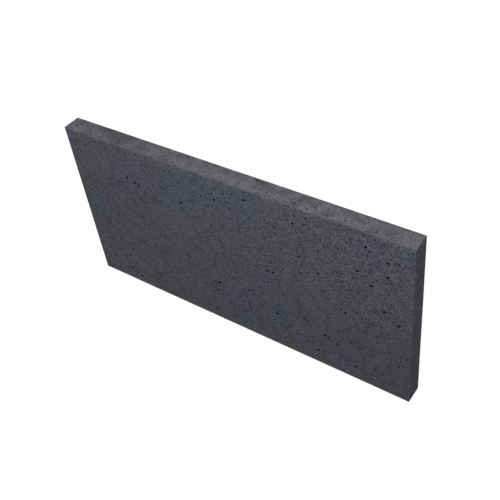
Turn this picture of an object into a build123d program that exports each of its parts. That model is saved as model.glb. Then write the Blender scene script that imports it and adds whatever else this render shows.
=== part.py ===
from build123d import *
import os

# A straight kerb stone of through-coloured concrete, cast whole as one slab.
# It stands on its narrow foot, as it is bedded: X runs along the kerb line,
# Y from the front face to the back face and Z from the foot to the top.
# The origin is the middle of the foot.

# Driving dimensions, in millimetres
LENGTH = 1000.0  # one unit of the kerb line, butt end to butt end
HEIGHT = 500.0  # foot to top
THICKNESS = 50.0  # front face to back face
ARRIS_RADIUS = 2.0  # the most by which an arris that is sold as square is rounded

with BuildPart() as kerb_stone:
    # The upright section, at the butt end where the run starts
    with BuildSketch(Plane.YZ.offset(-LENGTH / 2)):
        Rectangle(THICKNESS, HEIGHT, align=(Align.CENTER, Align.MIN))

    # One unit's run along the kerb line
    extrude(amount=LENGTH)

    # The mould's corners leave the arrises slightly rounded, but for those of
    # the foot, which stay square where the mould's walls meet its base plate
    foot = kerb_stone.faces().sort_by(Axis.Z)[0]
    fillet(kerb_stone.edges() - foot.edges(), radius=ARRIS_RADIUS)

kerb_stone.part.label = "kerb_stone"

os.makedirs("parts", exist_ok=True)
export_step(kerb_stone.part, "parts/kerb_stone.step")
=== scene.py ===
import math
import random

import bmesh
import bpy
from mathutils import Matrix, Vector, noise


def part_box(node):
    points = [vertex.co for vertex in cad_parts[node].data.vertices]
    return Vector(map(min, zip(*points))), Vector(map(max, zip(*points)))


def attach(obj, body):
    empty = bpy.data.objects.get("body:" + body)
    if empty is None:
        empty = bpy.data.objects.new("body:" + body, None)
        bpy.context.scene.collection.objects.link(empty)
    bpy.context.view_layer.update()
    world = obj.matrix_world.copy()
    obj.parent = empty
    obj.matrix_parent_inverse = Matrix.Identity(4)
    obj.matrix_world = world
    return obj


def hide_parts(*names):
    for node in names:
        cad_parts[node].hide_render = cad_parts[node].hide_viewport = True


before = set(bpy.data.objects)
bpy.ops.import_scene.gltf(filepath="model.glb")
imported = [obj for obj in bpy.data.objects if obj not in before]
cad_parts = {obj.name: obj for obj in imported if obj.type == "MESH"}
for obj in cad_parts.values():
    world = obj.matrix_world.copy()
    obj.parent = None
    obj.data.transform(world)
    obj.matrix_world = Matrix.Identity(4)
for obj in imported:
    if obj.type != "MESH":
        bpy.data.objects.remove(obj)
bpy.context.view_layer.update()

# The cast body: one slab of through-coloured concrete, vibrated in a steel mould and stood on its
# foot. The mould leaves flat faces with a faint waviness and arrises that are never quite even.
MM = 0.001
CELL = 10 * MM  # between the mesh lines that carry the waviness of a face
ARRIS_RADIUS = 0.9 * MM
ARRIS_TURNS = (45, 22.5)  # how far the mesh lines of an arris are turned from the face, in degrees
ARRIS_UNEVEN_SHARE = 0.4  # how far that radius wanders along an arris
ARRIS_WANDER = 30 * MM  # the length over which it wanders
WAVE_DEPTH = 0.3 * MM
WAVE_LENGTH = 110 * MM
MOULD_FACE, STRUCK_TOP, PORE_WALL = range(3)  # the finishes, in the order of the material slots
low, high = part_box("kerb_stone")
middle = (low + high) / 2

# Each side has the axis that it faces along and its end of that axis, the axes that run across and up
# it, and its corner on the flat sheet, one unit square, that the finishes are laid out on.
X, Y, Z = range(3)
LOW_END, HIGH_END = 0, -1
SHEET_PER_METRE = 0.87
SHEET_GAP = 0.005
WIDE_COLUMN = SHEET_GAP
NARROW_COLUMN = 0.882
PORE_COLUMN = 0.932
FACE_ROW = (high.z - low.z) * SHEET_PER_METRE + SHEET_GAP
EDGE_ROW = (high.y - low.y) * SHEET_PER_METRE + SHEET_GAP
SIDES = {
    "front": (Y, LOW_END, X, Z, WIDE_COLUMN, SHEET_GAP),
    "back": (Y, HIGH_END, X, Z, WIDE_COLUMN, SHEET_GAP + FACE_ROW),
    "top": (Z, HIGH_END, X, Y, WIDE_COLUMN, SHEET_GAP + 2 * FACE_ROW),
    "foot": (Z, LOW_END, X, Y, WIDE_COLUMN, SHEET_GAP + 2 * FACE_ROW + EDGE_ROW),
    "left_end": (X, LOW_END, Y, Z, NARROW_COLUMN, SHEET_GAP),
    "right_end": (X, HIGH_END, Y, Z, NARROW_COLUMN, SHEET_GAP + FACE_ROW),
}


def sheet_spot(side, place):
    """Where a place on a side is laid out on the sheet"""
    _, _, u_axis, v_axis, sheet_u, sheet_v = SIDES[side]
    across = (place[u_axis] - low[u_axis]) * SHEET_PER_METRE
    up = (place[v_axis] - low[v_axis]) * SHEET_PER_METRE
    return Vector((sheet_u + across, sheet_v + up))


def mesh_lines(start, end, square_start=False):
    """Places of the mesh lines along one axis: close on the rounded arrises and a cell apart between"""
    arc = [ARRIS_RADIUS * (1 - math.tan(math.radians(turn))) for turn in ARRIS_TURNS]
    first = start if square_start else start + ARRIS_RADIUS
    last = end - ARRIS_RADIUS
    cells = round((last - first) / CELL)
    between = [first + (last - first) * i / cells for i in range(cells + 1)]
    lead_in = [] if square_start else [start + offset for offset in arc]
    return lead_in + between + [end - offset for offset in reversed(arc)]


def cast_point(place):
    """Moves a point of the mould's box onto the rounded and slightly wavy surface of the concrete"""
    radius = ARRIS_RADIUS * (1 + ARRIS_UNEVEN_SHARE * noise.noise(place / ARRIS_WANDER))
    core = Vector((
        min(max(place.x, low.x + radius), high.x - radius),
        min(max(place.y, low.y + radius), high.y - radius),
        min(place.z, high.z - radius),
    ))
    outward = (place - core).normalized()
    if outward.length == 0:
        return place  # the foot stays flat
    hollow = WAVE_DEPTH * (1 + noise.noise(place / WAVE_LENGTH)) / 2
    return core + outward * (radius - hollow)


lines = (
    mesh_lines(low.x, high.x),
    mesh_lines(low.y, high.y),
    mesh_lines(low.z, high.z, square_start=True),
)
body_mesh = bmesh.new()
body_sheet = body_mesh.loops.layers.uv.new("OFBake")
points = {}
for side, (facing, end, u_axis, v_axis, _, _) in SIDES.items():
    for i in range(len(lines[u_axis]) - 1):
        for j in range(len(lines[v_axis]) - 1):
            corners = []
            spots = []
            for u, v in ((i, j), (i + 1, j), (i + 1, j + 1), (i, j + 1)):
                place = Vector()
                place[facing] = lines[facing][end]
                place[u_axis] = lines[u_axis][u]
                place[v_axis] = lines[v_axis][v]
                key = tuple(place)
                if key not in points:
                    points[key] = body_mesh.verts.new(cast_point(place))
                corners.append(points[key])
                spots.append(sheet_spot(side, place))
            face = body_mesh.faces.new(corners)
            face.smooth = True
            face.material_index = STRUCK_TOP if side == "top" else MOULD_FACE
            for loop, spot in zip(face.loops, spots):
                loop[body_sheet].uv = spot
bmesh.ops.recalc_face_normals(body_mesh, faces=body_mesh.faces[:])


# The concrete's grain and shades: black-pigmented cement that dried unevenly, over dark sand that
# shows as a fine speckle. Each effect is made once, as a group, for the finishes that follow.
FLOAT, VECTOR = "NodeSocketFloat", "NodeSocketVector"


def add_node(tree, kind, inputs=(), **settings):
    """Adds a shader node and fills its inputs with plain values or with the outputs of other nodes"""
    made = tree.nodes.new(kind)
    for name, value in settings.items():
        setattr(made, name, value)
    for socket, value in dict(inputs).items():
        if isinstance(value, bpy.types.NodeSocket):
            tree.links.new(value, made.inputs[socket])
        else:
            made.inputs[socket].default_value = value
    return made


def sums(tree, operation, first, second):
    """One step of arithmetic between two values"""
    return add_node(tree, "ShaderNodeMath", {0: first, 1: second}, operation=operation).outputs[0]


def vector_sums(tree, operation, *vectors):
    """One step of arithmetic on vectors"""
    inputs = dict(enumerate(vectors))
    return add_node(tree, "ShaderNodeVectorMath", inputs, operation=operation).outputs


def parts_of(tree, vector):
    """The X, Y and Z of a vector"""
    return add_node(tree, "ShaderNodeSeparateXYZ", {0: vector}).outputs


def fade(tree, value, start, end, from_level=0.0, to_level=1.0):
    """A smooth step between two levels as a value goes from start to end"""
    inputs = {"Value": value, "From Min": start, "From Max": end, "To Min": from_level, "To Max": to_level}
    return add_node(tree, "ShaderNodeMapRange", inputs, interpolation_type="SMOOTHSTEP").outputs[0]


def soft_noise(tree, vector, size, detail=2.0, roughness=0.5, distortion=0.0):
    """Noise from 0 to 1 whose lumps are about one size across"""
    inputs = {
        "Vector": vector,
        "Scale": sums(tree, "DIVIDE", 1.0, size),
        "Detail": detail,
        "Roughness": roughness,
        "Distortion": distortion,
    }
    return add_node(tree, "ShaderNodeTexNoise", inputs).outputs[0]


def lumpy(tree, vector, size, span, levels=(0.0, 1.0), **kind):
    """A level that goes up and down in lumps, from one level to the other over a span of the noise"""
    return fade(tree, soft_noise(tree, vector, size, **kind), *span, *levels)


def new_effect(name, inputs, outputs):
    """Starts a node group and returns its tree with its inner sockets"""
    tree = bpy.data.node_groups.new(name, "ShaderNodeTree")
    for socket, kind in inputs.items():
        tree.interface.new_socket(socket, in_out="INPUT", socket_type=kind)
    for socket, kind in outputs.items():
        tree.interface.new_socket(socket, in_out="OUTPUT", socket_type=kind)
    return tree, tree.nodes.new("NodeGroupInput").outputs, tree.nodes.new("NodeGroupOutput").inputs


def use_effect(tree, effect, inputs):
    """Places a node group in a material with that material's own values"""
    return add_node(tree, "ShaderNodeGroup", inputs, node_tree=effect).outputs


# Soft uneven patches of shade, as the cement dried quicker here and slower there
MOTTLES = dict(detail=5.0, roughness=0.62, distortion=0.3, span=(0.3, 0.7))
sockets = {"Vector": VECTOR, "Patch Size": FLOAT}
mottling, has, gives = new_effect("cement_mottling", sockets, {"Shade": FLOAT})
mottling.links.new(lumpy(mottling, has["Vector"], has["Patch Size"], **MOTTLES), gives["Shade"])

# One bloom: a cloud with a ragged rim about a centre
BLOOM_LUMPS = dict(size=50 * MM, detail=3.0, roughness=0.6)
BLOOM_RAGGEDNESS = 1.2
BLOOM_RIM_SHARES = (0.8, 1.7)  # of its reach: where the rim starts to fade and where it is gone
sockets = {"Vector": VECTOR, "Centre": VECTOR, "Reach": FLOAT}
bloom, has, gives = new_effect("bloom", sockets, {"Bloom": FLOAT})
away = vector_sums(bloom, "DISTANCE", has["Vector"], has["Centre"])["Value"]
ragged = sums(bloom, "MULTIPLY", soft_noise(bloom, has["Vector"], **BLOOM_LUMPS), BLOOM_RAGGEDNESS)
share = sums(bloom, "ADD", sums(bloom, "DIVIDE", away, has["Reach"]), ragged)
bloom.links.new(fade(bloom, share, *BLOOM_RIM_SHARES, 1.0, 0.0), gives["Bloom"])

# Lumps of sand just under the cement skin
SAND_LUMPS = dict(detail=3.0, roughness=0.75, span=(0.25, 0.75))
sockets = {"Vector": VECTOR, "Grain Size": FLOAT}
grain, has, gives = new_effect("sand_grain", sockets, {"Grain": FLOAT})
grain.links.new(lumpy(grain, has["Vector"], has["Grain Size"], **SAND_LUMPS), gives["Grain"])

# How open the skin is: coarse at the upper right, and closer and patchy over the left and the foot
COARSE_FROM = -100 * MM  # along the slab, and from there to the right end
COARSE_HEIGHTS = (150 * MM, 320 * MM)
COARSE_LEVELS = (-0.15, 0.65)
SKIN_PATCHES = dict(size=120 * MM, span=(0.25, 0.75), levels=(0.30, 0.64))
open_skin, has, gives = new_effect("open_skin", {"Vector": VECTOR}, {"Open": FLOAT})
at = parts_of(open_skin, has["Vector"])
to_right = fade(open_skin, at["X"], COARSE_FROM, high.x)
to_top = fade(open_skin, at["Z"], *COARSE_HEIGHTS, *COARSE_LEVELS)
patchy = lumpy(open_skin, has["Vector"], **SKIN_PATCHES)
openness = sums(open_skin, "ADD", sums(open_skin, "MULTIPLY", to_right, to_top), patchy)
open_skin.links.new(openness, gives["Open"])

# Dots of all widths up to the widest: the bubbles too fine to be cut into the mesh, and grains of sand
DOT_FLAT_SHARE = 0.6  # how much of a dot is whole before its rim fades
sockets = {"Vector": VECTOR, "Spacing": FLOAT, "Widest": FLOAT}
dots, has, gives = new_effect("dots", sockets, {"Dot": FLOAT})
density = sums(dots, "DIVIDE", 1.0, has["Spacing"])
cells = add_node(dots, "ShaderNodeTexVoronoi", {"Vector": has["Vector"], "Scale": density}).outputs
chance = add_node(dots, "ShaderNodeSeparateColor", {0: cells["Color"]}).outputs[0]
reach = sums(dots, "MULTIPLY", sums(dots, "MULTIPLY", chance, chance), has["Widest"])
flat_reach = sums(dots, "MULTIPLY", reach, DOT_FLAT_SHARE)
dots.links.new(fade(dots, cells["Distance"], flat_reach, reach, 1.0, 0.0), gives["Dot"])

# How far inside the mould's box a place is, along each axis
half_size = (high - low) / 2
depth_inside, has, gives = new_effect("depth_inside", {"Vector": VECTOR}, {"Depths": VECTOR})
from_middle = vector_sums(depth_inside, "SUBTRACT", has["Vector"], middle)["Vector"]
out_from_middle = vector_sums(depth_inside, "ABSOLUTE", from_middle)["Vector"]
inside = vector_sums(depth_inside, "SUBTRACT", half_size, out_from_middle)["Vector"]
depth_inside.links.new(inside, gives["Depths"])

# The pale skin of the struck top. It laps over the arrises in some places and stops short in others
RIM_WANDER = dict(size=30 * MM, detail=5.0, roughness=0.65, span=(0.25, 0.75), levels=(-8 * MM, 10 * MM))
RIM_SOFTNESS = dict(size=90 * MM, detail=1.0, span=(0.4, 0.65), levels=(2 * MM, 11 * MM))
RUBBED_HIGHLIGHT_WIDTH = dict(size=16 * MM, detail=3.0, roughness=0.6, span=(0.42, 0.7), levels=(0.0, 5 * MM))
pale_skin, has, gives = new_effect("pale_skin", {"Vector": VECTOR}, {"Pale": FLOAT, "Rubbed Highlight": FLOAT})
depths = use_effect(pale_skin, depth_inside, {"Vector": has["Vector"]})["Depths"]
depth = parts_of(pale_skin, depths)
below = sums(pale_skin, "SUBTRACT", high.z, parts_of(pale_skin, has["Vector"])["Z"])
inward = sums(pale_skin, "MINIMUM", depth["X"], depth["Y"])
wander = lumpy(pale_skin, has["Vector"], **RIM_WANDER)
past_rim = sums(pale_skin, "ADD", sums(pale_skin, "SUBTRACT", inward, below), wander)
softness = lumpy(pale_skin, has["Vector"], **RIM_SOFTNESS)
short_of_rim = sums(pale_skin, "MULTIPLY", softness, -1.0)
pale_skin.links.new(fade(pale_skin, past_rim, short_of_rim, softness), gives["Pale"])
# the rubbed arrises: partly wear and partly a painted highlight where an arris catches the light
nearer = sums(pale_skin, "MINIMUM", sums(pale_skin, "MAXIMUM", depth["X"], depth["Y"]), depth["Z"])
from_arris = sums(pale_skin, "MAXIMUM", inward, nearer)
rubbed_highlight = lumpy(pale_skin, has["Vector"], **RUBBED_HIGHLIGHT_WIDTH)
pale_skin.links.new(fade(pale_skin, from_arris, 0.0, rubbed_highlight, 1.0, 0.0), gives["Rubbed Highlight"])


# The mould face: the front, back, ends and foot, with a thin skin of cement that took the mould's
# smoothness between its pinholes, which are painted dark as painted shade. It dried to charcoal with
# slate-blue and violet blooms, with painted light at the lower left and painted shade at the lower right.
CHARCOAL = (0.0690, 0.0672, 0.0773, 1)
# TOP_GREY is also the colour of the rubbed arrises, which are partly worn and partly a painted highlight
TOP_GREY = (0.0790, 0.0772, 0.0865, 1)  # of the struck top, where it laps over and where an arris is rubbed
# painted shade: the black that the pinholes and the depths of the pores are painted with
PAINTED_SHADE_BLACK = (0.006, 0.006, 0.007, 1)
# painted light at the lower left and painted shade at the lower right, each laid as one broad bloom
PAINTED_LIGHT_GREY = (0.0738, 0.0719, 0.0827, 1)
PAINTED_LIGHT_BLOOMS = [(60, 420, 420)]  # from the left end, down from the top and across, in millimetres
PAINTED_SHADE_FOOT = (0.0655, 0.0638, 0.0734, 1)
PAINTED_SHADE_BLOOMS = [(960, 470, 460)]
SLATE = (0.0625, 0.0684, 0.0820, 1)
SLATE_BLOOMS = [
    (345, 95, 200), (430, 45, 200), (540, 40, 190), (40, 240, 130), (625, 385, 170), (530, 470, 110),
    (982, 32, 90),
]
VIOLET = (0.0690, 0.0668, 0.0840, 1)
VIOLET_BLOOMS = [
    (30, 50, 110), (215, 70, 190), (130, 160, 130), (615, 255, 110), (510, 370, 160), (690, 450, 130),
    (895, 50, 180), (820, 465, 120),
]
# a rubbed arris is partly wear and partly painted highlight
RUBBED_HIGHLIGHT_SHARE = 0.35  # how far a rubbed arris goes to the grey of the top
MOULD_PATCH = 30 * MM
MOULD_SHADES = (0.91, 1.09)
MOULD_GRAIN = 4.0 * MM
MOULD_CONTRAST = (0.34, 0.61)  # of the grain, where the skin is closed and where it is open
SAND_SPACING = 5.0 * MM
SAND_WIDEST = (0.22, 0.58)  # in shares of the spacing, closed and open
PALE_SAND = (0.150, 0.148, 0.156, 1)
SAND_SHARE = 0.6  # how far a bare grain shows its own colour
PINHOLE_SPACING = 6.0 * MM
PINHOLE_WIDEST = (0.26, 0.44)
PINHOLE_SHADE_SHARE = 0.55  # how far a pinhole goes to black
OFF_THE_SAND = (5.0, 5.0, 5.0)  # moves the pinholes away from the grains
MOULD_RELIEF = 0.8 * MM
SAND_RELIEF_SHARE = 0.5  # how high the sand stands, as a share of a pinhole's depth
SKIN_ROUGHNESS = (0.95, 0.80)  # between the lumps of sand and on them
DRY_SHEEN = 0.02
AMOUNT, PLAIN, TINTED, RESULT = 0, 6, 7, 2  # the sockets of a mix of two colours


def tint(tree, amount, plain, tinted, blend="MIX"):
    """Mixes two colours by an amount"""
    inputs = {AMOUNT: amount, PLAIN: plain, TINTED: tinted}
    return add_node(tree, "ShaderNodeMix", inputs, data_type="RGBA", blend_type=blend).outputs[RESULT]


def by_share(tree, share, levels):
    """A level between two, by a share from 0 to 1"""
    return fade(tree, share, 0.0, 1.0, *levels)


def blank_material(name):
    """A new material with nothing in it yet"""
    made = bpy.data.materials.new(name)
    made.use_nodes = True
    made.node_tree.nodes.clear()
    return made, made.node_tree


def start_material(name):
    """A new material with its Principled shader and the body's own coordinates"""
    made, tree = blank_material(name)
    shader = add_node(tree, "ShaderNodeBsdfPrincipled")
    add_node(tree, "ShaderNodeOutputMaterial", {"Surface": shader.outputs[0]})
    where = add_node(tree, "ShaderNodeTexCoord").outputs["Object"]
    return made, tree, shader.inputs, where


def put_blooms(tree, where, colour, bloomed, blooms, y=low.y):
    """Lays a list of blooms over a colour, about the front unless another place is given"""
    for x, down, across in blooms:
        centre = (low.x + x * MM, y, high.z - down * MM)
        reach = across / 2 * MM
        mask = use_effect(tree, bloom, {"Vector": where, "Centre": centre, "Reach": reach})["Bloom"]
        colour = tint(tree, mask, colour, bloomed)
    return colour


def speckled(tree, colour, sand, contrast):
    """A colour made darker and lighter by the grain of the sand, which goes from 0 to 1"""
    swing = sums(tree, "MULTIPLY", sums(tree, "SUBTRACT", sand, 0.5), sums(tree, "MULTIPLY", contrast, 2.0))
    return tint(tree, 1.0, colour, sums(tree, "ADD", swing, 1.0), "MULTIPLY")


def finish_skin(tree, skin, colour, sand, holes, relief):
    """Joins a colour to its shader, with the sand standing up and the pinholes sunk"""
    height = sums(tree, "SUBTRACT", sums(tree, "MULTIPLY", sand, SAND_RELIEF_SHARE), holes)
    bump = add_node(tree, "ShaderNodeBump", {"Height": height, "Strength": 1.0, "Distance": relief})
    tree.links.new(colour, skin["Base Color"])
    tree.links.new(by_share(tree, sand, SKIN_ROUGHNESS), skin["Roughness"])
    tree.links.new(bump.outputs[0], skin["Normal"])
    skin["Specular IOR Level"].default_value = DRY_SHEEN


mould_face, tree, skin, where = start_material("mould_face_concrete")
# painted light at the lower left, then painted shade at the lower right
with_painted_light = put_blooms(tree, where, CHARCOAL, PAINTED_LIGHT_GREY, PAINTED_LIGHT_BLOOMS)
with_painted_shade = put_blooms(tree, where, with_painted_light, PAINTED_SHADE_FOOT, PAINTED_SHADE_BLOOMS)
bluish = put_blooms(tree, where, with_painted_shade, SLATE, SLATE_BLOOMS)
bloomed = put_blooms(tree, where, bluish, VIOLET, VIOLET_BLOOMS)
edge = use_effect(tree, pale_skin, {"Vector": where})
lapped = tint(tree, edge["Pale"], bloomed, TOP_GREY)
# rubbed arrises: wear with a painted highlight
rubbed_highlight = tint(tree, sums(tree, "MULTIPLY", edge["Rubbed Highlight"], RUBBED_HIGHLIGHT_SHARE), lapped, TOP_GREY)
shade = use_effect(tree, mottling, {"Vector": where, "Patch Size": MOULD_PATCH})["Shade"]
shaded = tint(tree, 1.0, rubbed_highlight, by_share(tree, shade, MOULD_SHADES), "MULTIPLY")
opened = use_effect(tree, open_skin, {"Vector": where})["Open"]
sand = use_effect(tree, grain, {"Vector": where, "Grain Size": MOULD_GRAIN})["Grain"]
grained = speckled(tree, shaded, sand, by_share(tree, opened, MOULD_CONTRAST))
widest = by_share(tree, opened, SAND_WIDEST)
bare_sand = use_effect(tree, dots, {"Vector": where, "Spacing": SAND_SPACING, "Widest": widest})["Dot"]
sanded = tint(tree, sums(tree, "MULTIPLY", bare_sand, SAND_SHARE), grained, PALE_SAND)
aside = vector_sums(tree, "ADD", where, OFF_THE_SAND)["Vector"]
widest = by_share(tree, opened, PINHOLE_WIDEST)
holes = use_effect(tree, dots, {"Vector": aside, "Spacing": PINHOLE_SPACING, "Widest": widest})["Dot"]
# painted shade: the pinholes, too fine to be cut, are painted dark
pinholes_shaded = tint(tree, sums(tree, "MULTIPLY", holes, PINHOLE_SHADE_SHARE), sanded, PAINTED_SHADE_BLACK)
finish_skin(tree, skin, pinholes_shaded, sand, holes, MOULD_RELIEF)

# The struck top: the face that was struck off level above the mould. It dried paler than the mould
# faces, with a closer skin, cloudy darker patches and stretches along the back that stayed damp.
DAMP_GREY = (0.0660, 0.0645, 0.0725, 1)
DAMP_PATCHES = [(195, 0, 300)]  # placed and measured as the blooms are
WET_GREY = (0.0520, 0.0515, 0.0560, 1)
WET_PATCHES = [(170, 0, 110), (190, 0, 80), (592, 0, 55)]  # the same, along the back arris
RUBBED_HIGHLIGHT_GREY = (0.100, 0.098, 0.106, 1)
TOP_RUBBED_HIGHLIGHT_SHARE = 0.5
TOP_PATCH = 28 * MM
TOP_SHADES = (0.78, 1.18)
TOP_GRAIN = 5.0 * MM
TOP_CONTRAST = 0.40
TOP_PINHOLE_SPACING = 9.0 * MM
TOP_PINHOLE_WIDEST = 0.30
TOP_PINHOLE_SHADE_SHARE = 0.75
TOP_RELIEF = 0.5 * MM
struck_top, tree, skin, where = start_material("struck_top_concrete")
damp = put_blooms(tree, where, TOP_GREY, DAMP_GREY, DAMP_PATCHES)
wet = put_blooms(tree, where, damp, WET_GREY, WET_PATCHES, high.y)
edge = use_effect(tree, pale_skin, {"Vector": where})
lapped = tint(tree, edge["Pale"], CHARCOAL, wet)
# rubbed arrises of the top: wear with a painted highlight
rubbed_highlight = tint(tree, sums(tree, "MULTIPLY", edge["Rubbed Highlight"], TOP_RUBBED_HIGHLIGHT_SHARE), lapped, RUBBED_HIGHLIGHT_GREY)
shade = use_effect(tree, mottling, {"Vector": where, "Patch Size": TOP_PATCH})["Shade"]
shaded = tint(tree, 1.0, rubbed_highlight, by_share(tree, shade, TOP_SHADES), "MULTIPLY")
sand = use_effect(tree, grain, {"Vector": where, "Grain Size": TOP_GRAIN})["Grain"]
grained = speckled(tree, shaded, sand, TOP_CONTRAST)
pinholes = {"Vector": where, "Spacing": TOP_PINHOLE_SPACING, "Widest": TOP_PINHOLE_WIDEST}
holes = use_effect(tree, dots, pinholes)["Dot"]
# painted shade: the top's pinholes are painted dark
pinholes_shaded = tint(tree, sums(tree, "MULTIPLY", holes, TOP_PINHOLE_SHADE_SHARE), grained, PAINTED_SHADE_BLACK)
finish_skin(tree, skin, pinholes_shaded, sand, holes, TOP_RELIEF)

# Air pores: bubbles that stayed against the mould, each left as a rounded hollow with a sharp mouth, and
# shallow dimples. Those that show on the front and the top are listed one by one, in millimetres, and a
# seeded draw adds the finer ones and those of the other sides.
DEEP_PORES = [  # from the left end, down from the top, the mouth's length, its width and its rise in degrees
    (193, 99, 12, 6, 75), (219, 107, 8, 6, 60), (229, 114, 9, 8, 50), (369, 116, 11, 8, 25),
    (480, 66, 8, 7, 35), (569, 34, 9, 8, 40), (577, 31, 6, 5, 50), (702, 50, 9, 6, 30),
    (614, 237, 15, 6, 5), (631, 236, 11, 6, 10), (886, 41, 9, 8, 60), (938, 66, 9, 7, -30),
    (938, 108, 10, 7, 30), (864, 122, 14, 6, 15), (898, 151, 14, 7, 10), (931, 218, 11, 7, 25),
    (966, 246, 13, 6, 15), (761, 178, 9, 5, 35), (146, 475, 10, 7, 20), (113, 456, 9, 7, 50),
    (450, 357, 11, 8, 10), (435, 358, 7, 6, 40), (630, 382, 10, 7, 30), (546, 339, 9, 5, 35),
    (557, 334, 8, 4, 30), (830, 273, 10, 5, 25), (770, 385, 9, 6, 75), (805, 400, 8, 7, 30),
    (780, 392, 8, 6, 60),
]
LONG_SHALLOW_PORES = [  # the same
    (245, 10, 11, 4, 35), (256, 38, 10, 5, 45), (61, 190, 12, 5, 25), (126, 226, 13, 5, 15),
    (523, 79, 10, 6, 45), (99, 347, 14, 5, 20), (213, 415, 13, 5, 15), (168, 343, 11, 5, 25),
    (236, 320, 10, 5, -20), (352, 303, 12, 4, 50), (475, 421, 12, 7, 45), (427, 465, 15, 7, 25),
    (510, 292, 11, 6, 25), (585, 310, 9, 4, 20), (914, 334, 12, 4, 45), (903, 384, 13, 5, 85),
    (907, 437, 11, 5, 60), (746, 457, 17, 5, 60), (672, 463, 10, 4, 55), (118, 406, 12, 5, 30),
]
SHALLOW_PORES = [  # from the left end, down from the top and across the mouth
    (27, 33, 6), (92, 63, 6), (157, 125, 6), (87, 163, 6), (177, 157, 5), (190, 150, 7), (130, 142, 5),
    (13, 38, 5), (61, 39, 6), (69, 56, 5), (31, 60, 5), (38, 67, 4), (140, 86, 4), (112, 99, 4),
    (183, 67, 4), (139, 60, 4), (103, 15, 5), (173, 45, 4), (201, 185, 5), (225, 158, 5), (232, 170, 5),
    (95, 115, 5), (313, 70, 6), (332, 33, 6), (288, 142, 6), (282, 136, 4), (281, 94, 5), (247, 132, 5),
    (342, 75, 5), (349, 102, 6), (344, 98, 4), (335, 110, 4), (439, 71, 5), (423, 64, 4), (477, 46, 5),
    (457, 96, 6), (470, 91, 4), (364, 29, 5), (350, 11, 5), (410, 91, 4), (455, 158, 7), (386, 193, 4),
    (413, 78, 5), (460, 88, 4), (468, 52, 5), (510, 37, 6), (520, 147, 7), (580, 83, 5), (628, 203, 6),
    (710, 147, 7), (703, 167, 6), (728, 113, 6), (738, 23, 5), (561, 58, 4), (648, 83, 5), (658, 71, 6),
    (625, 73, 6), (650, 104, 7), (709, 26, 5), (731, 44, 5), (726, 70, 6), (574, 11, 7), (515, 48, 5),
    (690, 164, 4), (716, 200, 4), (629, 224, 4), (655, 220, 4), (738, 178, 5), (758, 62, 6),
    (782, 87, 7), (790, 82, 6), (817, 76, 6), (800, 68, 5), (893, 53, 7), (887, 67, 6), (925, 43, 5),
    (878, 92, 6), (960, 78, 4), (945, 123, 6), (912, 129, 5), (948, 188, 5), (775, 230, 7),
    (768, 238, 5), (865, 70, 5), (880, 10, 6), (917, 69, 5), (955, 60, 5), (895, 105, 5), (909, 87, 4),
    (879, 130, 5), (857, 150, 4), (809, 184, 4), (821, 151, 4), (985, 94, 4), (969, 130, 4),
    (886, 192, 5), (107, 275, 8), (137, 377, 8), (80, 396, 6), (115, 387, 5), (207, 312, 6),
    (292, 352, 6), (190, 405, 5), (118, 490, 7), (92, 413, 5), (60, 390, 5), (60, 435, 7),
    (107, 330, 4), (373, 430, 6), (352, 413, 5), (440, 392, 7), (453, 398, 5), (485, 450, 5),
    (490, 463, 6), (433, 280, 5), (330, 255, 4), (404, 255, 5), (389, 314, 4), (295, 332, 4),
    (435, 372, 4), (455, 372, 4), (454, 384, 5), (435, 406, 4), (494, 324, 5), (570, 275, 6),
    (513, 377, 8), (542, 400, 7), (649, 396, 7), (710, 357, 7), (518, 433, 8), (687, 430, 7),
    (733, 435, 5), (647, 470, 5), (610, 447, 5), (646, 269, 5), (519, 260, 4), (642, 315, 4),
    (665, 322, 4), (695, 345, 5), (636, 422, 5), (655, 425, 5), (585, 401, 4), (534, 422, 4),
    (530, 345, 4), (717, 361, 4), (736, 412, 5), (700, 470, 4), (577, 467, 5), (602, 422, 4),
    (810, 349, 7), (822, 343, 6), (840, 323, 4), (877, 280, 6), (892, 292, 5), (897, 310, 5),
    (967, 290, 6), (843, 373, 6), (878, 372, 5), (928, 443, 5), (980, 377, 5), (853, 452, 5),
    (790, 487, 4), (877, 468, 5), (774, 341, 6), (781, 316, 4), (806, 275, 5), (914, 311, 5),
    (872, 311, 5), (866, 359, 4), (859, 436, 6), (811, 454, 4), (877, 414, 4), (891, 415, 4),
    (942, 415, 4), (949, 422, 4), (972, 400, 5), (970, 387, 4), (991, 374, 4), (944, 349, 4),
    (776, 365, 5), (777, 352, 4), (885, 267, 4), (850, 290, 4), (970, 412, 4), (23, 240, 5),
    (447, 43, 5), (248, 447, 5), (55, 377, 5), (895, 339, 4), (708, 134, 5), (979, 225, 4),
]
TOP_PORES = [  # from the left end, in from the front and across the mouth
    (25, 20, 7), (34, 31, 5), (67, 27, 6), (107, 40, 6), (120, 10, 6), (334, 8, 7), (343, 9, 6),
    (360, 8, 6), (647, 19, 5), (657, 34, 6), (703, 12, 7), (738, 8, 6), (752, 22, 6), (780, 30, 6),
    (788, 10, 6), (872, 24, 5), (893, 14, 5), (906, 12, 6),
]
PORE_SEED = 57
SCATTERED_PORES = {"front": 120, "back": 440, "top": 6, "foot": 40, "left_end": 16, "right_end": 10}
SMALLEST_PORE = 1.8 * MM
LARGEST_PORE = {"front": 3.4 * MM, "back": 8.0 * MM}
LARGEST_EDGE_PORE = 4.0 * MM
PORE_SIZE_POWER = 2.4  # how fast pores grow rarer with their width
PORE_STRETCH = (1.0, 1.5)  # how much longer than wide
PORE_UNDERCUT = 1.25  # how much wider a bubble is inside than at its mouth
PORE_DEPTH_SHARE = (0.5, 1.2)  # how deep a bubble goes, as a share of its width
LONG_DEPTH_SHARE = 0.36
ROUND_FLATNESS = 16.5 * MM * MM  # width times depth of a round shallow pore: the wider, the flatter
TOP_PORE_DEPTH = 1.4 * MM
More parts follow.
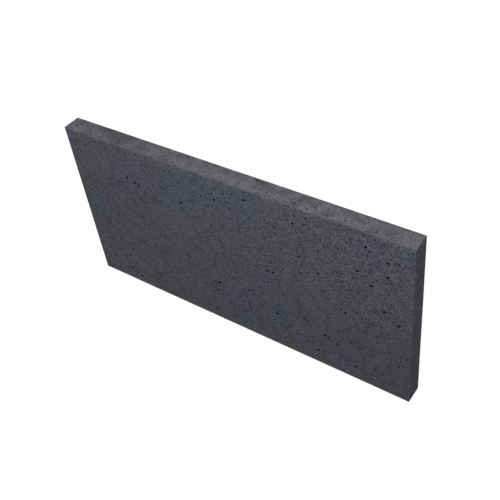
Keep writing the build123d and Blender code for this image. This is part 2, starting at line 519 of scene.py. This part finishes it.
RIM_WEAR = 0.9 * MM  # how much wider a round shallow pore is where its rim has crumbled
HOLLOW_FLARE = 1.15  # how much wider the ball that cuts a hollow is above the face than at the mouth
DIMPLES = {"front": 740, "back": 240, "top": 60, "foot": 20, "left_end": 20, "right_end": 20}
DIMPLE_WIDTH = (2.5 * MM, 7 * MM)
DIMPLE_STRETCH = (1.0, 1.6)
DIMPLE_DEPTH_SHARE = (0.12, 0.28)
EVEN_SHARE = 0.5  # how many of the places drawn are kept where nothing leans
PORE_LEANS = (0.15, 0.15)  # how many more at the right end and at the top than at the left and the foot
DIMPLE_LEANS = (-0.35, -0.25)
SIDE_MARGIN = 6 * MM  # kept clear along the arrises
FINE_BLOB = 4.4 * MM  # a blob under this width takes a ball of fewer faces
LUMPS_SHARE = 0.22  # how far a blob departs from a plain ball
LUMPS_PER_BALL = 1.6
LUMPS_APART = 90  # how far one blob's lumps may lie from another's in the noise
BLOB_CLEARANCE = 0.5 * MM
BLOB_CELL = 0.0058  # the room on the sheet for the wall of one blob
BLOB_ROWS = int((1 - 2 * SHEET_GAP) / BLOB_CELL)

# The wall of a pore is bare concrete with painted shade, which goes to black over its first 2 mm inward
PORE_GREY = (0.058, 0.057, 0.065, 1)  # just inside the mouth
PAINTED_SHADE_DEPTH = 2.0 * MM
WALL_GRAIN = 1.5 * MM
WALL_CONTRAST = 0.3
WALL_ROUGHNESS = 0.95
shaded_pore_wall, tree, skin, where = start_material("pore_wall_concrete_painted_shade")
sand = use_effect(tree, grain, {"Vector": where, "Grain Size": WALL_GRAIN})["Grain"]
depth = parts_of(tree, use_effect(tree, depth_inside, {"Vector": where})["Depths"])
nearest = sums(tree, "MINIMUM", sums(tree, "MINIMUM", depth["X"], depth["Y"]), depth["Z"])
# painted shade: the wall is painted darker the deeper it lies inside the slab
painted_pore_shade = tint(tree, fade(tree, nearest, 0.0, PAINTED_SHADE_DEPTH), PORE_GREY, PAINTED_SHADE_BLACK)
tree.links.new(speckled(tree, painted_pore_shade, sand, WALL_CONTRAST), skin["Base Color"])
skin["Roughness"].default_value = WALL_ROUGHNESS
skin["Specular IOR Level"].default_value = DRY_SHEEN


def unit_ball(subdivisions):
    """The rays and faces of a plain ball"""
    ball = bmesh.new()
    bmesh.ops.create_icosphere(ball, subdivisions=subdivisions, radius=1.0)
    ball.verts.index_update()
    rays = [point.co.normalized() for point in ball.verts]
    faces = [[point.index for point in face.verts] for face in ball.faces]
    ball.free()
    return rays, faces


class Cutter:
    """Blobs to cut out of the body in one go, which never meet each other"""

    cells_used = 0

    def __init__(self):
        self.taken = []
        self.points = []
        self.faces = []
        self.finishes = []
        self.spots = []

    def has_room(self, centre, reach):
        return all((centre - other).length > reach + far + BLOB_CLEARANCE for other, far in self.taken)


COARSE_BALL = unit_ball(subdivisions=1)
FINE_BALL = unit_ball(subdivisions=2)
draw = random.Random(PORE_SEED)
cutters = []


def next_cell():
    """The middle of the next free cell on the sheet"""
    column, row = divmod(Cutter.cells_used, BLOB_ROWS)
    Cutter.cells_used += 1
    return Vector((PORE_COLUMN, SHEET_GAP)) + Vector((column + 0.5, row + 0.5)) * BLOB_CELL


def add_blob(centre, axes, half_sizes, finish, side=None):
    """Adds a lumpy ball to cut away, given its three axes and its half size along each. A shallow one is
    laid out on the sheet with its side, and the others have a cell of their own there."""
    reach = max(half_sizes) * (1 + LUMPS_SHARE / 2)
    cutter = next((c for c in cutters if c.has_room(centre, reach)), None)
    if cutter is None:
        cutter = Cutter()
        cutters.append(cutter)
    cutter.taken.append((centre, reach))
    stretch = Matrix(axes).transposed() @ Matrix.Diagonal(half_sizes)
    drift = Vector([draw.uniform(-LUMPS_APART, LUMPS_APART) for _ in range(3)])
    cell = None if side else next_cell()
    first = len(cutter.points)
    rays, faces = FINE_BALL if max(half_sizes) > FINE_BLOB / 2 else COARSE_BALL
    laid_out = []
    for ray in rays:
        lump = 1 + LUMPS_SHARE * noise.noise(ray * LUMPS_PER_BALL + drift)
        point = centre + stretch @ ray * lump
        cutter.points.append(point)
        if side:
            laid_out.append(sheet_spot(side, point))
        else:
            from_pole = math.acos(max(-1.0, min(1.0, -ray.z))) / math.pi
            laid_out.append(cell + ray.xy.normalized() * from_pole * BLOB_CELL / 2)
    for face in faces:
        cutter.faces.append([first + i for i in face])
        cutter.finishes.append(finish)
        cutter.spots.extend(laid_out[i] for i in face)


def add_pore(mouth, outward, along, length, width, depth_share):
    """Adds a bubble that opens through a face with a mouth of that length and width"""
    half_sizes = Vector((length, width, depth_share * (length + width) / 2)) * PORE_UNDERCUT / 2
    sunk = half_sizes.z * math.sqrt(1 - PORE_UNDERCUT**-2)
    add_blob(mouth - outward * sunk, (along, outward.cross(along), outward), half_sizes, PORE_WALL)


def add_hollow(mouth, outward, along, length, width, depth, finish, side):
    """Adds a shallow hollow with a flared mouth"""
    raised_share = math.sqrt(1 - HOLLOW_FLARE**-2)
    half_sizes = Vector((length / 2 * HOLLOW_FLARE, width / 2 * HOLLOW_FLARE, depth / (1 - raised_share)))
    raised = half_sizes.z * raised_share
    add_blob(mouth + outward * raised, (along, outward.cross(along), outward), half_sizes, finish, side)


def turned(direction, outward, degrees):
    """A direction on a face, turned about the way that the face looks"""
    return Matrix.Rotation(math.radians(degrees), 3, outward) @ direction


def scattered(side, count, right_lean, up_lean):
    """Places drawn on a side, each with the way the side faces and a direction along it"""
    facing, end, u_axis, v_axis, _, _ = SIDES[side]
    outward = Vector()
    outward[facing] = 1 if end == HIGH_END else -1
    across = Vector()
    across[u_axis] = 1
    while count:
        mouth = Vector()
        mouth[facing] = high[facing] if end == HIGH_END else low[facing]
        for axis in (u_axis, v_axis):
            mouth[axis] = draw.uniform(low[axis] + SIDE_MARGIN, high[axis] - SIDE_MARGIN)
        rightwards = (mouth.x - middle.x) / (high.x - low.x)
        upwards = (mouth.z - middle.z) / (high.z - low.z)
        if draw.random() < EVEN_SHARE + right_lean * rightwards + up_lean * upwards:
            count -= 1
            yield mouth, outward, turned(across, outward, draw.uniform(0, 180))


def on_front(x, down):
    """A place on the front, from the left end and down from the top"""
    return Vector((low.x + x * MM, low.y, high.z - down * MM))


FRONT = Vector((0, -1, 0))
RIGHT = Vector((1, 0, 0))
UP = Vector((0, 0, 1))
for x, down, length, width, rise in DEEP_PORES:
    along = turned(RIGHT, FRONT, rise)
    add_pore(on_front(x, down), FRONT, along, length * MM, width * MM, max(PORE_DEPTH_SHARE))
for x, down, length, width, rise in LONG_SHALLOW_PORES:
    along = turned(RIGHT, FRONT, rise)
    depth = LONG_DEPTH_SHARE * width * MM
    add_hollow(on_front(x, down), FRONT, along, length * MM, width * MM, depth, PORE_WALL, "front")
for x, down, across in SHALLOW_PORES:
    width = across * MM + RIM_WEAR
    add_hollow(on_front(x, down), FRONT, RIGHT, width, width, ROUND_FLATNESS / width, PORE_WALL, "front")
for x, inward, across in TOP_PORES:
    mouth = Vector((low.x + x * MM, low.y + inward * MM, high.z))
    width = across * MM + RIM_WEAR
    add_hollow(mouth, UP, RIGHT, width, width, TOP_PORE_DEPTH, PORE_WALL, "top")
for side, count in SCATTERED_PORES.items():
    for mouth, outward, along in scattered(side, count, *PORE_LEANS):
        largest = LARGEST_PORE.get(side, LARGEST_EDGE_PORE)
        width = min(largest, SMALLEST_PORE * draw.random() ** (-1 / PORE_SIZE_POWER))
        depth_share = draw.uniform(*PORE_DEPTH_SHARE)
        add_pore(mouth, outward, along, width * draw.uniform(*PORE_STRETCH), width, depth_share)
for side, count in DIMPLES.items():
    finish = STRUCK_TOP if side == "top" else PORE_WALL
    for mouth, outward, along in scattered(side, count, *DIMPLE_LEANS):
        width = draw.uniform(*DIMPLE_WIDTH)
        depth = width * draw.uniform(*DIMPLE_DEPTH_SHARE)
        add_hollow(mouth, outward, along, width * draw.uniform(*DIMPLE_STRETCH), width, depth, finish, side)

# Chipped arrises: flakes knocked off where slabs touched in the stack, each a shallow scallop with
# the same grain as the rest, because the colour goes right through.
CHIPS_PER_METRE = 6
CORNER_MARGIN = 15 * MM  # where no chip is
CHIP_LENGTH = (2.5 * MM, 8 * MM)
CHIP_DEPTH = (0.3 * MM, 1.3 * MM)
CHIP_HALF_WIDTH_SHARE = 0.4  # of its length
CHIP_ROUND = 2.2 * MM  # the half height of the blob that cuts a chip
ARRIS_CUT_BACK = ARRIS_RADIUS * (math.sqrt(2) - 1)  # from the sharp corner to the rounded arris
for along_axis in (X, Y, Z):
    side_axes = [axis for axis in (X, Y, Z) if axis != along_axis]
    along = Vector()
    along[along_axis] = 1
    from_corner = low[along_axis] + CORNER_MARGIN
    to_corner = high[along_axis] - CORNER_MARGIN
    chips = math.ceil(CHIPS_PER_METRE * (high[along_axis] - low[along_axis]))
    for ends in ((LOW_END, LOW_END), (LOW_END, HIGH_END), (HIGH_END, LOW_END), (HIGH_END, HIGH_END)):
        corner = Vector()
        outward = Vector()
        for axis, end in zip(side_axes, ends):
            corner[axis] = high[axis] if end == HIGH_END else low[axis]
            outward[axis] = 1 if end == HIGH_END else -1
        outward.normalize()
        for _ in range(chips):
            corner[along_axis] = draw.uniform(from_corner, to_corner)
            length = draw.uniform(*CHIP_LENGTH)
            depth = draw.uniform(*CHIP_DEPTH)
            centre = corner + outward * (CHIP_ROUND - ARRIS_CUT_BACK - depth)
            half_sizes = Vector((length / 2, CHIP_HALF_WIDTH_SHARE * length, CHIP_ROUND))
            add_blob(centre, (along, outward.cross(along), outward), half_sizes, MOULD_FACE)

# The casting: the body with its pores and chips cut out of it, as one closed mesh with the three
# finishes. It stands for the plain solid of the slab, which has no other piece.
SHARP_ANGLE = math.radians(42)
SLIVER = 0.003 * MM  # edges that the cutting leaves shorter than this are dissolved
finishes = (mould_face, struck_top, shaded_pore_wall)
body = bpy.data.objects.new("kerb_stone_cast", bpy.data.meshes.new("kerb_stone_cast"))
body_mesh.to_mesh(body.data)
body_mesh.free()
bpy.context.scene.collection.objects.link(body)
for finish in finishes:
    body.data.materials.append(finish)
blobs = []
for cutter in cutters:
    mesh = bpy.data.meshes.new("blobs")
    mesh.from_pydata(cutter.points, [], cutter.faces)
    sheet = mesh.uv_layers.new(name="OFBake")
    sheet.uv.foreach_set("vector", [value for spot in cutter.spots for value in spot])
    mesh.polygons.foreach_set("material_index", cutter.finishes)
    mesh.polygons.foreach_set("use_smooth", [True] * len(cutter.faces))
    for finish in finishes:
        mesh.materials.append(finish)
    blobs.append(bpy.data.objects.new("blobs", mesh))
    bpy.context.scene.collection.objects.link(blobs[-1])
    cut = body.modifiers.new("cut", "BOOLEAN")
    cut.operation = "DIFFERENCE"
    cut.solver = "MANIFOLD"
    cut.object = blobs[-1]
cast = bpy.data.meshes.new_from_object(body.evaluated_get(bpy.context.evaluated_depsgraph_get()))
body.modifiers.clear()
body.data = cast
for blob in blobs:
    bpy.data.objects.remove(blob)
cleaned = bmesh.new()
cleaned.from_mesh(cast)
bmesh.ops.triangulate(cleaned, faces=cleaned.faces[:])
bmesh.ops.dissolve_degenerate(cleaned, dist=SLIVER, edges=cleaned.edges[:])
bmesh.ops.triangulate(cleaned, faces=cleaned.faces[:])
cleaned.to_mesh(cast)
cleaned.free()
cast.set_sharp_from_angle(angle=SHARP_ANGLE)
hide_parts("kerb_stone")
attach(body, "root")

# The studio: a floor of white paper without an end, a low white sky, wide soft lights from above the
# front and from behind, and a strip light over the front. None of it is part of the object.
FLOOR_REACH = 30.0
GREY_PAPER = (0.10, 0.10, 0.10, 1)  # as the slab sees it, so that little light comes back from below
WHITE_PAPER = (0.97, 0.97, 0.97, 1)
GLOW_SHARE = 0.6  # how much of the white stays in the shadow
SKY_LEVEL = 0.45
WHITE = (1, 1, 1, 1)


def seen_straight(tree):
    """1 where a ray comes from the camera, straight or by way of gloss or glass"""
    ray = add_node(tree, "ShaderNodeLightPath").outputs
    mirrored = sums(tree, "MAXIMUM", ray["Is Glossy Ray"], ray["Is Transmission Ray"])
    return sums(tree, "MAXIMUM", ray["Is Camera Ray"], mirrored)


bpy.ops.mesh.primitive_plane_add(size=2 * FLOOR_REACH)
studio_floor = bpy.context.object
studio_floor.name = "studio_floor"
paper, tree = blank_material("white_floor_paper")
grey_paper = add_node(tree, "ShaderNodeBsdfDiffuse", {"Color": GREY_PAPER}).outputs[0]
white_paper = add_node(tree, "ShaderNodeBsdfDiffuse", {"Color": WHITE_PAPER}).outputs[0]
glow = add_node(tree, "ShaderNodeEmission", {"Strength": 1.0}).outputs[0]
seen_paper = add_node(tree, "ShaderNodeMixShader", {0: GLOW_SHARE, 1: white_paper, 2: glow}).outputs[0]
mixed = add_node(tree, "ShaderNodeMixShader", {0: seen_straight(tree), 1: grey_paper, 2: seen_paper})
add_node(tree, "ShaderNodeOutputMaterial", {"Surface": mixed.outputs[0]})
studio_floor.data.materials.append(paper)

sky = bpy.data.worlds.new("studio_sky")
bpy.context.scene.world = sky
sky.use_nodes = True
tree = sky.node_tree
tree.nodes.clear()
level = sums(tree, "MAXIMUM", seen_straight(tree), SKY_LEVEL)
glow = add_node(tree, "ShaderNodeBackground", {"Color": WHITE, "Strength": level}).outputs[0]
add_node(tree, "ShaderNodeOutputWorld", {"Surface": glow})


def aim(thing, place, target, roll=0.0):
    """Stands a lamp or the camera at a place, looking at a target"""
    thing.location = place
    look = (Vector(target) - Vector(place)).to_track_quat("-Z", "Y")
    thing.rotation_mode = "QUATERNION"
    thing.rotation_quaternion = look @ Matrix.Rotation(roll, 3, "Z").to_quaternion()
    bpy.context.scene.collection.objects.link(thing)


WIDE_LIGHTS = [  # the name, the strength, where it shines from and how wide it is, in degrees
    ("key_light", 2.4, (0.30, -0.55, 0.78), 16),
    ("fill_light", 0.79, (-0.45, 0.75, 0.48), 40),
    ("back_light", 0.85, (0.0, 1.0, 0.04), 30),
]
for name, strength, place, spread in WIDE_LIGHTS:
    lamp = bpy.data.lights.new(name, "SUN")
    lamp.energy = strength
    lamp.angle = math.radians(spread)
    aim(bpy.data.objects.new(name, lamp), place, (0, 0, 0))
STRIP_SIZE = (1.6, 0.25)
STRIP_POWER = 3.1
STRIP_PLACE = (0.12, -0.4, 0.85)
STRIP_TARGET = (0.12, 0, 0.45)
strip = bpy.data.lights.new("strip_light", "AREA")
strip.shape = "RECTANGLE"
strip.size, strip.size_y = STRIP_SIZE
strip.energy = STRIP_POWER
strip_light = bpy.data.objects.new("strip_light", strip)
strip_light.visible_camera = False
aim(strip_light, STRIP_PLACE, STRIP_TARGET)

# The camera stands to the right of the front and looks down on the slab, leaning a little, so that
# the slab's corners fall where the picture has them.
FRAME_PIXELS = 500
LENS_PIXELS = 786.55
FILM_WIDTH = 36
CAMERA_PLACE = (0.98507, -1.10094, 1.58444)
CAMERA_TARGET = (0.02619, 0.02531, 0.25254)
CAMERA_ROLL = math.radians(-8.19)
lens = bpy.data.cameras.new("camera")
lens.sensor_width = FILM_WIDTH
lens.lens = FILM_WIDTH * LENS_PIXELS / FRAME_PIXELS
camera = bpy.data.objects.new("camera", lens)
aim(camera, CAMERA_PLACE, CAMERA_TARGET, CAMERA_ROLL)
bpy.context.scene.camera = camera
bpy.context.scene.view_settings.view_transform = "Standard"
